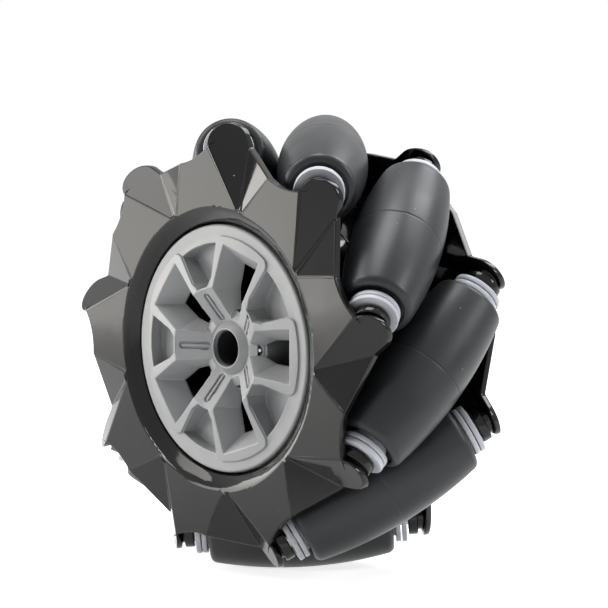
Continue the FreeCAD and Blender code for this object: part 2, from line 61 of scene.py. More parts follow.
MM = 0.001
FULL_TURN = 2 * math.pi
QUARTER_TURN = math.pi / 2
WHEEL_BODY = "wheel_body"
SAME_POINT = 0.0001 * MM
SAME_CORNER = 0.001 * MM
FLAT_TURN = math.radians(0.7)

Color = tuple[float, float, float]
Points = list[tuple[float, float]]
Number = float | bpy.types.NodeSocket

log = logging.getLogger("wheel")


class Slot(Enum):
    """The record's material slots."""

    SHELL = "shell_gloss"
    RIM = "rim_grey"
    HUB = "hub_black"
    CORE = "core_white"
    WASHER = "washer_white"
    TYRE = "tyre_rubber"
    STEEL = "steel"


# Shader node groups


def new_group(name: str, inputs: dict[str, float | None], outputs: list[str]) -> bpy.types.ShaderNodeTree:
    """Start a shader node group.

    Args:
        name: The group's name.
        inputs: Each input's name and its default; None makes a vector input.
        outputs: Names of the value outputs.

    Returns:
        The node tree, with nodes named Group Input and Group Output.
    """
    tree = bpy.data.node_groups.new(name, "ShaderNodeTree")
    for label, default in inputs.items():
        kind = "NodeSocketVector" if default is None else "NodeSocketFloat"
        socket = tree.interface.new_socket(label, in_out="INPUT", socket_type=kind)
        if default is not None:
            socket.default_value = default
    for label in outputs:
        tree.interface.new_socket(label, in_out="OUTPUT", socket_type="NodeSocketFloat")
    tree.nodes.new("NodeGroupInput").name = "Group Input"
    tree.nodes.new("NodeGroupOutput").name = "Group Output"
    return tree


def calculate(tree: bpy.types.NodeTree, operation: str, a: Number,
              b: Number | None = None) -> bpy.types.NodeSocket:
    """Add a math node.

    Args:
        tree: The node tree it goes into.
        operation: The math node's operation.
        a: A socket or a number.
        b: A second socket or number, where the operation has one.

    Returns:
        The node's output.
    """
    node = tree.nodes.new("ShaderNodeMath")
    node.operation = operation
    for socket, value in zip(node.inputs, (a, b)):
        if isinstance(value, bpy.types.NodeSocket):
            tree.links.new(value, socket)
        elif value is not None:
            socket.default_value = value
    return node.outputs[0]


def ramp(tree: bpy.types.NodeTree, value: bpy.types.NodeSocket, low: Number, high: Number,
         to_low: Number = 0.0, to_high: Number = 1.0) -> bpy.types.NodeSocket:
    """Add a smooth, clamped change of range.

    Args:
        tree: The node tree it goes into.
        value: The socket to change.
        low: Where the range starts, a socket or a number.
        high: Where it ends.
        to_low: What the start becomes.
        to_high: What the end becomes.

    Returns:
        The node's output.
    """
    node = tree.nodes.new("ShaderNodeMapRange")
    node.interpolation_type = "SMOOTHSTEP"
    tree.links.new(value, node.inputs["Value"])
    for label, number in (("From Min", low), ("From Max", high), ("To Min", to_low), ("To Max", to_high)):
        if isinstance(number, bpy.types.NodeSocket):
            tree.links.new(number, node.inputs[label])
        else:
            node.inputs[label].default_value = number
    return node.outputs["Result"]


def noise(tree: bpy.types.NodeTree, place: bpy.types.NodeSocket, size: bpy.types.NodeSocket,
          detail: float) -> bpy.types.NodeSocket:
    """Add a noise whose blobs have the given size in metres.

    Args:
        tree: The node tree it goes into.
        place: The coordinates.
        size: The size of a blob, as a socket.
        detail: How many finer octaves it has.

    Returns:
        The noise, around 0.5.
    """
    node = tree.nodes.new("ShaderNodeTexNoise")
    node.inputs["Detail"].default_value = detail
    tree.links.new(place, node.inputs["Vector"])
    tree.links.new(calculate(tree, "DIVIDE", 1.0, size), node.inputs["Scale"])
    return node.outputs["Fac"]


def moulding_group() -> bpy.types.ShaderNodeTree:
    """Texture of a moulded surface: a fine grain, a slow wave and slow patches.

    Returns:
        The group, whose outputs are the height of grain and wave together and the patches from 0 to 1.
    """
    tree = new_group("moulded texture", {"Place": None, "Grain Size": 0.4 * MM, "Wave Size": 3 * MM,
                                         "Wave Share": 0.5, "Patch Size": 12 * MM}, ["Height", "Patches"])
    given, result = tree.nodes["Group Input"].outputs, tree.nodes["Group Output"].inputs
    grain = noise(tree, given["Place"], given["Grain Size"], 3.0)
    wave = noise(tree, given["Place"], given["Wave Size"], 1.0)
    wave = calculate(tree, "MULTIPLY", wave, given["Wave Share"])
    tree.links.new(calculate(tree, "ADD", grain, wave), result["Height"])
    patches = noise(tree, given["Place"], given["Patch Size"], 2.0)
    tree.links.new(ramp(tree, patches, 0.35, 0.65), result["Patches"])
    return tree


def dust_group() -> bpy.types.ShaderNodeTree:
    """Scattered specks of dust and tiny pits.

    Returns:
        The group, whose one output is 1 on a speck and 0 beside it.
    """
    tree = new_group("dust specks", {"Place": None, "Spacing": 3 * MM, "Speck": 0.06, "Share": 0.4},
                     ["Specks"])
    given, result = tree.nodes["Group Input"].outputs, tree.nodes["Group Output"].inputs
    cells = tree.nodes.new("ShaderNodeTexVoronoi")
    tree.links.new(given["Place"], cells.inputs["Vector"])
    tree.links.new(calculate(tree, "DIVIDE", 1.0, given["Spacing"]), cells.inputs["Scale"])
    shade = tree.nodes.new("ShaderNodeSeparateColor")
    tree.links.new(cells.outputs["Color"], shade.inputs["Color"])
    radius = calculate(tree, "MULTIPLY", given["Speck"], shade.outputs["Green"])
    inside = ramp(tree, calculate(tree, "SUBTRACT", radius, cells.outputs["Distance"]), 0.0, 0.02)
    chosen = calculate(tree, "LESS_THAN", shade.outputs["Red"], given["Share"])
    tree.links.new(calculate(tree, "MULTIPLY", inside, chosen), result["Specks"])
    return tree


MOULDING = moulding_group()
DUST = dust_group()


# Finishes


@dataclass(frozen=True)
class Finish:
    """How one material looks: colours, gloss and the fine texture of its surface, in metres."""

    name: str
    slot: Slot
    color: Color
    patch_color: Color
    roughness: float
    patch_roughness: float
    grain_size: float
    grain_height: float
    wave_size: float = 3 * MM
    wave_share: float = 0.5
    patch_size: float = 12 * MM
    dust_color: Color = (0.45, 0.45, 0.46)
    dust_spacing: float = 3 * MM
    dust_share: float = 0.3
    dust_dulls: float = 0.3
    metallic: float = 0.0
    specular: float = 0.5

    def material(self) -> bpy.types.Material:
        """Build the material.

        Returns:
            A material on object coordinates, with one shader and the shared groups.
        """
        made = bpy.data.materials.new(self.name)
        made.use_nodes = True
        tree = made.node_tree
        shader = tree.nodes["Principled BSDF"]
        shader.inputs["Metallic"].default_value = self.metallic
        shader.inputs["Specular IOR Level"].default_value = self.specular
        place = tree.nodes.new("ShaderNodeTexCoord").outputs["Object"]
        texture = self.group(tree, MOULDING, place, {
            "Grain Size": self.grain_size, "Wave Size": self.wave_size, "Wave Share": self.wave_share,
            "Patch Size": self.patch_size})
        specks = self.group(tree, DUST, place, {"Spacing": self.dust_spacing, "Share": self.dust_share})
        base = self.blend(tree, texture["Patches"], self.color, self.patch_color)
        base = self.blend(tree, specks["Specks"], base, self.dust_color)
        tree.links.new(base, shader.inputs["Base Color"])
        gloss = ramp(tree, texture["Patches"], 0.0, 1.0, self.roughness, self.patch_roughness)
        dulled = calculate(tree, "MULTIPLY", specks["Specks"], self.dust_dulls)
        tree.links.new(calculate(tree, "ADD", gloss, dulled), shader.inputs["Roughness"])
        bump = tree.nodes.new("ShaderNodeBump")
        bump.inputs["Distance"].default_value = self.grain_height
        tree.links.new(texture["Height"], bump.inputs["Height"])
        tree.links.new(bump.outputs["Normal"], shader.inputs["Normal"])
        return made

    @staticmethod
    def group(tree: bpy.types.NodeTree, group: bpy.types.ShaderNodeTree, place: bpy.types.NodeSocket,
              values: dict[str, float]) -> bpy.types.bpy_prop_collection:
        """Place a node group in a material.

        Args:
            tree: The material's node tree.
            group: The group.
            place: The coordinates.
            values: Each input's name and value.

        Returns:
            The group node's outputs.
        """
        node = tree.nodes.new("ShaderNodeGroup")
        node.node_tree = group
        tree.links.new(place, node.inputs["Place"])
        for label, value in values.items():
            node.inputs[label].default_value = value
        return node.outputs

    @staticmethod
    def blend(tree: bpy.types.NodeTree, share: bpy.types.NodeSocket, a: Color | bpy.types.NodeSocket,
              b: Color) -> bpy.types.NodeSocket:
        """Mix two colours by a mask.

        Args:
            tree: The material's node tree.
            share: The mask, 0 for the first colour.
            a: The first colour, or the socket that it comes from.
            b: The second colour.

        Returns:
            The mixed colour.
        """
        node = tree.nodes.new("ShaderNodeMix")
        node.data_type = "RGBA"
        first, second = node.inputs[6], node.inputs[7]
        tree.links.new(share, node.inputs[0])
        if isinstance(a, bpy.types.NodeSocket):
            tree.links.new(a, first)
        else:
            first.default_value = (*a, 1)
        second.default_value = (*b, 1)
        return node.outputs[2]


GLOSS_BLACK = Finish("gloss black plastic", Slot.SHELL, (0.006, 0.006, 0.007), (0.009, 0.0085, 0.008),
                     0.07, 0.11, grain_size=0.5 * MM, grain_height=0.0015 * MM,
                     wave_size=5 * MM, wave_share=5.0, dust_spacing=3.2 * MM, dust_share=0.35, specular=0.27)
SATIN_GREY = Finish("satin grey plastic", Slot.RIM, (0.30, 0.305, 0.315), (0.36, 0.365, 0.37), 0.38, 0.46,
                    grain_size=0.25 * MM, grain_height=0.006 * MM,
                    dust_share=0.1, dust_color=(0.5, 0.5, 0.5))
MATT_BLACK = Finish("matt black plastic", Slot.HUB, (0.02, 0.02, 0.021), (0.026, 0.026, 0.027), 0.45, 0.55,
                    grain_size=0.3 * MM, grain_height=0.01 * MM)
RUBBER = Finish("moulded rubber", Slot.TYRE, (0.013, 0.0145, 0.017), (0.019, 0.020, 0.022), 0.36, 0.44,
                grain_size=0.22 * MM, grain_height=0.012 * MM, wave_size=2.5 * MM, wave_share=0.8,
                dust_spacing=2.2 * MM, dust_share=0.45, specular=0.35)
WHITE_CORE = Finish("white core plastic", Slot.CORE, (0.70, 0.71, 0.77), (0.74, 0.75, 0.80), 0.35, 0.42,
                    grain_size=0.3 * MM, grain_height=0.004 * MM,
                    dust_share=0.05, dust_color=(0.3, 0.3, 0.3))
WHITE_WASHER = Finish("white washer plastic", Slot.WASHER, (0.66, 0.67, 0.72), (0.72, 0.73, 0.78),
                      0.38, 0.46, grain_size=0.3 * MM, grain_height=0.004 * MM,
                      dust_share=0.05, dust_color=(0.3, 0.3, 0.3))
STEEL = Finish("bright steel", Slot.STEEL, (0.60, 0.60, 0.61), (0.52, 0.52, 0.53), 0.25, 0.36,
               grain_size=0.15 * MM, grain_height=0.003 * MM, dust_share=0.0, metallic=1.0)


# Modelling steps


def deselect() -> None:
    """Select nothing."""
    for obj in bpy.context.selected_objects:
        obj.select_set(False)


def pick(obj: bpy.types.Object) -> None:
    """Make one object the only selected one, and the active one.

    Args:
        obj: The object.
    """
    deselect()
    obj.select_set(True)
    bpy.context.view_layer.objects.active = obj


def edit(obj: bpy.types.Object) -> None:
    """Enter edit mode with all of an object selected.

    Args:
        obj: The object.
    """
    pick(obj)
    bpy.ops.object.mode_set(mode="EDIT")
    bpy.ops.mesh.select_all(action="SELECT")


def leave_edit() -> None:
    """Go back to object mode."""
    bpy.ops.object.mode_set(mode="OBJECT")


def apply(obj: bpy.types.Object, modifier: bpy.types.Modifier) -> None:
    """Apply a modifier to its object."""
    pick(obj)
    bpy.ops.object.modifier_apply(modifier=modifier.name)


def push_along_y(obj: bpy.types.Object, group: bpy.types.VertexGroup, distance: float) -> None:
    """Move the vertices of a group along Y, each by its weight's share of the distance.

    Args:
        obj: The object.
        group: The group, whose name the modifier takes.
        distance: How far a vertex of full weight moves.
    """
    push = obj.modifiers.new(group.name, "DISPLACE")
    push.direction = "Y"
    push.mid_level = 0.0
    push.strength = distance
    push.vertex_group = group.name
    apply(obj, push)


def ease_edges(obj: bpy.types.Object, width: float, corner: float, segments: int = 3) -> None:
    """Round the edges that turn more than the corner angle.

    Args:
        obj: The object.
        width: How far from the edge the rounding starts.
        corner: The angle in degrees.
        segments: How many facets the rounding has.
    """
    rounding = obj.modifiers.new("eased edges", "BEVEL")
    rounding.width = width
    rounding.segments = segments
    rounding.limit_method = "ANGLE"
    rounding.angle_limit = math.radians(corner)
    rounding.use_clamp_overlap = False
    apply(obj, rounding)


def keep_within(obj: bpy.types.Object, other: bpy.types.Object) -> None:
    """Bring back what an edge's rounding pushed out of another object's box.

    Args:
        obj: The object whose vertices are moved.
        other: The object that gives the box.
    """
    for axis in range(3):
        reach = [vertex.co[axis] for vertex in other.data.vertices]
        low, high = min(reach), max(reach)
        for vertex in obj.data.vertices:
            vertex.co[axis] = min(high, max(low, vertex.co[axis]))


def smooth(obj: bpy.types.Object, corner: float = 35.0) -> None:
    """Shade an object smooth, except at sharp edges, with flat faces kept flat.

    Args:
        obj: The object.
        corner: The angle in degrees from which an edge is sharp.
    """
    pick(obj)
    bpy.ops.object.shade_smooth_by_angle(angle=math.radians(corner))
    weighted = obj.modifiers.new("weighted", "WEIGHTED_NORMAL")
    weighted.keep_sharp = True
    apply(obj, weighted)


def drawn_line(name: str, points: list[tuple[float, float, float]]) -> bpy.types.Object:
    """Draw a line from point to point, as the start of a piece.

    Args:
        name: The new object's name.
        points: The points in order.

    Returns:
        The line, in edit mode with all of it selected.
    """
    deselect()
    bpy.ops.mesh.primitive_plane_add(size=1 * MM, location=(0, 0, 0))
    obj = bpy.context.object
    obj.name = obj.data.name = name
    edit(obj)
    bpy.ops.mesh.merge(type="CENTER")
    bpy.ops.transform.translate(value=points[0])
    for point, following in zip(points, points[1:]):
        step = tuple(end - start for start, end in zip(point, following))
        bpy.ops.mesh.extrude_region_move(TRANSFORM_OT_translate={"value": step})
    bpy.ops.mesh.select_all(action="SELECT")
    return obj


def turned(name: str, outline: Points, steps: int = 96) -> bpy.types.Object:
    """Turn an outline about Z, as on a lathe.

    Args:
        name: The new object's name.
        outline: Points of radius and height. It starts and ends on the axis, or where it began.
        steps: How many steps the turn has.

    Returns:
        A closed object, its axis on Z.
    """
    obj = drawn_line(name, [(radius, 0, height) for radius, height in outline])
    bpy.ops.mesh.remove_doubles(threshold=SAME_POINT)
    bpy.ops.mesh.spin(steps=steps, angle=FULL_TURN, center=(0, 0, 0), axis=(0, 0, 1))
    bpy.ops.mesh.select_all(action="SELECT")
    bpy.ops.mesh.remove_doubles(threshold=SAME_CORNER)
    bpy.ops.mesh.normals_make_consistent(inside=False)
    leave_edit()
    return obj


def prism(name: str, outline: Points, near: float, far: float, taper: float = 1.0) -> bpy.types.Object:
    """Draw an outline out along Y.

    Args:
        name: The new object's name.
        outline: Points of X and Z, in order round the outline.
        near: The Y of the outline itself.
        far: The Y of the other end.
        taper: The other end's size as a share of the outline's.

    Returns:
        A closed object.
    """
    obj = drawn_line(name, [(x, near, z) for x, z in outline])
    bpy.ops.mesh.edge_face_add()
    bpy.ops.mesh.extrude_region_move(TRANSFORM_OT_translate={"value": (0, far - near, 0)})
    middle = sum((Vector((x, far, z)) for x, z in outline), Vector()) / len(outline)
    bpy.ops.transform.resize(value=(taper, 1, taper), center_override=middle)
    bpy.ops.mesh.select_all(action="SELECT")
    bpy.ops.mesh.normals_make_consistent(inside=False)
    leave_edit()
    return obj


def stadium(length: float, half: float) -> Points:
    """Outline of a bar with round ends that starts at the origin and runs along X."""
    return arc_points((length - half, 0), half, -90, 90, 13) + arc_points((half, 0), half, 90, 270, 13)


def cut(obj: bpy.types.Object, tools: list[bpy.types.Object]) -> None:
    """Take the tools' forms out of an object and delete the tools.

    Args:
        obj: The object to cut.
        tools: What it is cut with.
    """
    tool = joined("cutters", tools)
    cutting = obj.modifiers.new("cut", "BOOLEAN")
    cutting.operation = "DIFFERENCE"
    cutting.solver = "EXACT"
    cutting.object = tool
    apply(obj, cutting)
    bpy.data.objects.remove(tool)


def placed_copy(model: bpy.types.Object, name: str, place: Matrix) -> bpy.types.Object:
    """Copy an object with a mesh of its own and move the copy's mesh to its place.

    Args:
        model: The object to copy.
        name: The copy's name.
        place: Where it goes.

    Returns:
        The copy, at the origin and unturned.
    """
    copy = model.copy()
    copy.data = model.data.copy()
    copy.name = copy.data.name = name
    bpy.context.scene.collection.objects.link(copy)
    copy.matrix_world = place
    pick(copy)
    bpy.ops.object.transform_apply(location=True, rotation=True, scale=True)
    return copy


def joined(name: str, parts: list[bpy.types.Object]) -> bpy.types.Object:
    """Join objects into one.

    Args:
        name: The name of the result.
        parts: The objects, of which the first is kept.

    Returns:
        The joined object.
    """
    pick(parts[0])
    for part in parts[1:]:
        part.select_set(True)
    bpy.ops.object.join()
    parts[0].name = parts[0].data.name = name
    return parts[0]


def dress(obj: bpy.types.Object, finish: Finish, material: bpy.types.Material, body: str,
          *nodes: str) -> None:
    """Give a finished piece its material and its body, and hide the CAD nodes that it stands for.

    Args:
        obj: The piece.
        finish: Its finish; not used.
        material: The material built from that finish.
        body: The body it rides on.
        nodes: The CAD nodes it replaces.
    """
    obj.data.materials.clear()
    obj.data.materials.append(material)
    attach(obj, body)
    if nodes:
        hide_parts(*nodes)
    log.info("%s: %d faces", obj.name, len(obj.data.polygons))


def arc_points(middle: tuple[float, float], radius: float, start: float, end: float, count: int) -> Points:
    """Points of an arc in the plane of radius and height.

    Args:
        middle: The arc's centre.
        radius: Its radius.
        start: The angle of its first point, in degrees from the radius direction.
        end: The angle of its last point.
        count: How many points it has.

    Returns:
        The points in order.
    """
    points = []
    for i in range(count):
        angle = math.radians(start + (end - start) * i / (count - 1))
        points.append((middle[0] + radius * math.cos(angle), middle[1] + radius * math.sin(angle)))
    return points


# Sub-assemblies


@dataclass
class MouldedPiece:
    """A moulded piece with the form of its CAD node and its sharp edges eased."""

    node: str
    name: str
    finish: Finish
    ease: float = 0.15 * MM
    corner: float = 25.0

    def build(self) -> bpy.types.Object:
        """Copy the node's mesh, merge it and ease its edges.

        Returns:
            The finished piece.
        """
        mesh = frame["nodes"][self.node].data.copy()
        obj = bpy.data.objects.new(self.name, mesh)
        bpy.context.scene.collection.objects.link(obj)
        edit(obj)
        bpy.ops.mesh.customdata_custom_splitnormals_clear()
        bpy.ops.mesh.remove_doubles(threshold=SAME_CORNER)
        bpy.ops.mesh.dissolve_limited(angle_limit=FLAT_TURN)
        leave_edit()
        self.shape(obj)
        ease_edges(obj, self.ease, self.corner)
        keep_within(obj, frame["nodes"][self.node])
        smooth(obj)
        dress(obj, self.finish, self.finish.material(), WHEEL_BODY, self.node)
        return obj

    def shape(self, obj: bpy.types.Object) -> None:
        """Change the form of the merged copy; a plain piece keeps it."""


@dataclass
class FrontCover(MouldedPiece):
    """The front cover, whose band runs down to the rim insert as a funnel."""

    funnel_depth: float = 1.5 * MM
    band_width: float = 3.0 * MM
    band_lift: float = 0.4 * MM
    fade: float = 1.8 * MM
    front_zone: float = 1.6 * MM

    def shape(self, obj: bpy.types.Object) -> None:
        """Push the inner edge of the band back and its outer edge forward.

        Args:
            obj: The merged copy of the cover.
        """
        front = min(vertex.co.y for vertex in obj.data.vertices)
        ring = [vertex for vertex in obj.data.vertices if vertex.co.y < front + self.front_zone]
        bore = min(math.hypot(vertex.co.x, vertex.co.z) for vertex in ring)
        band = bore + self.band_width
        inward, outward = obj.vertex_groups.new(name="inward"), obj.vertex_groups.new(name="outward")
        for vertex in ring:
            radius = math.hypot(vertex.co.x, vertex.co.z)
            if radius < band:
                inward.add([vertex.index], (band - radius) / self.band_width, "REPLACE")
            outward.add([vertex.index], max(0.0, 1 - abs(radius - band) / self.fade), "REPLACE")
        for group, strength in ((inward, self.funnel_depth), (outward, -self.band_lift)):
            push_along_y(obj, group, strength)


@dataclass
class RimInsert(MouldedPiece):
    """The grey insert: five framed windows, hollows between the spokes' branches, slots and a nose.

    Heights are counted back from the crown, which is the insert's foremost edge.
    """

    count: int = 5
    crown_at: float = 10.7 * MM
    tube_r: float = 4.6 * MM
    crown_rise: float = 2.15 * MM
    old_slot_half: float = 0.75 * MM
    old_slot_to: float = 8.8 * MM
    tiny: float = 0.03 * MM
    dip: float = 1.5 * MM
    skin: float = 0.4 * MM
    hollow_half: tuple[tuple[float, float], ...] = ((10.6 * MM, 1.2 * MM), (12.0 * MM, 2.55 * MM))
    hollow_r: float = 18.55 * MM
    hollow_span: float = 15.7
    hollow_floor: float = 3.9 * MM
    hollow_taper: float = 0.86
    tool_proud: float = 1 * MM
    slot_from: float = 5.0 * MM
    slot_length: float = 5.7 * MM
    slot_half: float = 0.62 * MM
    slot_depth: float = 0.38 * MM
    bar_half: float = 0.27 * MM
    bar_root: float = 0.2 * MM
    nose_lip_r: float = 3.6 * MM
    nose_foot_r: float = 4.7 * MM
    nose_height: float = 1.2 * MM
    nose_root: float = 2 * MM
    bore_r: float = 3.22 * MM

    def around(self, model: bpy.types.Object, extra: Matrix = Matrix.Identity(4)) -> list[bpy.types.Object]:
        """Copies of a model between the windows.

        Args:
            model: What is copied, lying along X; it is deleted.
            extra: Its own placing before it is turned.

        Returns:
            One copy for each spoke.
        """
        copies = []
        for i in range(self.count):
            turn = Matrix.Rotation(FULL_TURN * (i + 0.5) / self.count, 4, "Y")
            copies.append(placed_copy(model, f"{model.name} {i}", turn @ extra))
        bpy.data.objects.remove(model)
        return copies

    def sink_spokes(self, obj: bpy.types.Object, crown: float) -> None:
        """Fill the old slots and sink the spokes towards the tube.

        Args:
            obj: The merged copy of the insert.
            crown: The Y of its foremost edge.
        """
        level, sink = obj.vertex_groups.new(name="level"), obj.vertex_groups.new(name="sink")
        step = FULL_TURN / self.count
        for vertex in obj.data.vertices:
            radius = math.hypot(vertex.co.x, vertex.co.z)
            inner = min(1.0, (self.crown_at - radius) / (self.crown_at - self.tube_r))
            under = vertex.co.y - crown - self.crown_rise * inner
            off_middle = (math.atan2(vertex.co.z, vertex.co.x) % step - step / 2) * radius
            slotted = abs(off_middle) < self.old_slot_half and self.tube_r < radius < self.old_slot_to
            if slotted and self.tiny < under < self.crown_rise:
                level.add([vertex.index], under / self.crown_rise, "REPLACE")
                under = 0.0
            if inner > 0 and under < self.skin:
                sink.add([vertex.index], inner, "REPLACE")
        for group, strength in ((level, -self.crown_rise), (sink, self.dip)):
            push_along_y(obj, group, strength)
        edit(obj)
        bpy.ops.mesh.remove_doubles(threshold=self.tiny)
        bpy.ops.mesh.dissolve_degenerate(threshold=self.tiny)
        bpy.ops.mesh.dissolve_limited(angle_limit=FLAT_TURN)
        leave_edit()

    def nose(self, foot: float) -> bpy.types.Object:
        """The rounded lip round the bore.

        Args:
            foot: The Y of the spokes' inner ends, which it stands on.

        Returns:
            The lip.
        """
        lip = foot - self.nose_height
        round_r = (self.nose_lip_r - self.bore_r) / 2
        outline = arc_points((self.bore_r + round_r, -lip - round_r), round_r, 180, 40, 9)
        outline += [(self.nose_foot_r, -foot), (self.nose_foot_r, -foot - self.nose_root),
                    (self.bore_r, -foot - self.nose_root), (self.bore_r, -lip - round_r)]
        model = turned("nose", outline)
        piece = placed_copy(model, "nose piece", Matrix.Rotation(QUARTER_TURN, 4, "X"))
        bpy.data.objects.remove(model)
        return piece

    def shape(self, obj: bpy.types.Object) -> None:
        """Sink the spokes, widen the hollows, cut the slots, and add their bars and the nose.

        Args:
            obj: The merged copy of the insert.
        """
        crown = min(vertex.co.y for vertex in obj.data.vertices)
        self.sink_spokes(obj, crown)
        run, rise = self.crown_at - self.tube_r, self.crown_rise + self.dip
        half = list(self.hollow_half)
        edge = arc_points((0, 0), self.hollow_r, self.hollow_span, -self.hollow_span, 13)
        outline = half + edge + [(x, -z) for x, z in reversed(half)]
        hollow = prism("hollow", outline, crown - self.tool_proud, crown + self.hollow_floor,
                       self.hollow_taper)
        foot = Vector((self.slot_from, crown + rise * (self.crown_at - self.slot_from) / run, 0))
        lie = Matrix.Translation(foot) @ Matrix.Rotation(-math.atan2(rise, run), 4, "Z")
        groove = prism("slot", stadium(self.slot_length, self.slot_half), -self.tool_proud, self.slot_depth)
        cut(obj, self.around(hollow) + self.around(groove, lie))
        bar = prism("bar", stadium(self.slot_length - self.slot_half + self.bar_half, self.bar_half),
                    0.0, self.slot_depth + self.bar_root)
        nose = self.nose(crown + rise)
        joined(self.name, [obj] + self.around(bar, lie) + [nose])


@dataclass
class HubTrim:
    """The drive studs, whose domes show in the windows, and the black lining of the insert's bore."""

    count: int = 5
    stud_r: float = 0.8 * MM
    stud_circle_r: float = 6.05 * MM
    stud_lift: float = 0.35 * MM
    lining_r: float = 3.24 * MM
    lining_wall: float = 0.25 * MM
    bore_mouth: float = 2.6 * MM
    lining_from: float = 0.8 * MM
    lining_to: float = 6 * MM

    def studs(self) -> bpy.types.Object:
        """Five studs with domed ends.

        Returns:
            The studs as one object.
        """
        ends = [vertex.co.y for vertex in frame["nodes"]["drive_pins"].data.vertices]
        tip, back = min(ends) - self.stud_lift, max(ends)
        dome = arc_points((0, -tip - self.stud_r), self.stud_r, 90, 0, 9)
        model = turned("stud", [(0.0, dome[0][1])] + dome[1:] + [(self.stud_r, -back), (0, -back)], 32)
        on_circle = Matrix.Translation((self.stud_circle_r, 0, 0)) @ Matrix.Rotation(QUARTER_TURN, 4, "X")
        studs = []
        for i in range(self.count):
            turn = Matrix.Rotation(FULL_TURN * i / self.count, 4, "Y")
            studs.append(placed_copy(model, f"stud {i}", turn @ on_circle))
        bpy.data.objects.remove(model)
        obj = joined("drive_studs", studs)
        smooth(obj)
        return obj

    def lining(self) -> bpy.types.Object:
        """The black tube inside the bore.

        Returns:
            The tube, open at both ends.
        """
        crown = min(vertex.co.y for vertex in frame["nodes"]["hub_rim"].data.vertices)
        near = -(crown + self.bore_mouth) - self.lining_from
        inner = self.lining_r - self.lining_wall
        model = turned("lining", [(inner, near), (self.lining_r, near), (self.lining_r, -self.lining_to),
                                  (inner, -self.lining_to), (inner, near)], 64)
        obj = placed_copy(model, "bore_lining", Matrix.Rotation(QUARTER_TURN, 4, "X"))
        bpy.data.objects.remove(model)
        smooth(obj)
        return obj

    def build(self) -> None:
        """Build both and dress them."""
        dress(self.studs(), STEEL, STEEL.material(), WHEEL_BODY, "drive_pins")
        dress(self.lining(), MATT_BLACK, MATT_BLACK.material(), WHEEL_BODY)


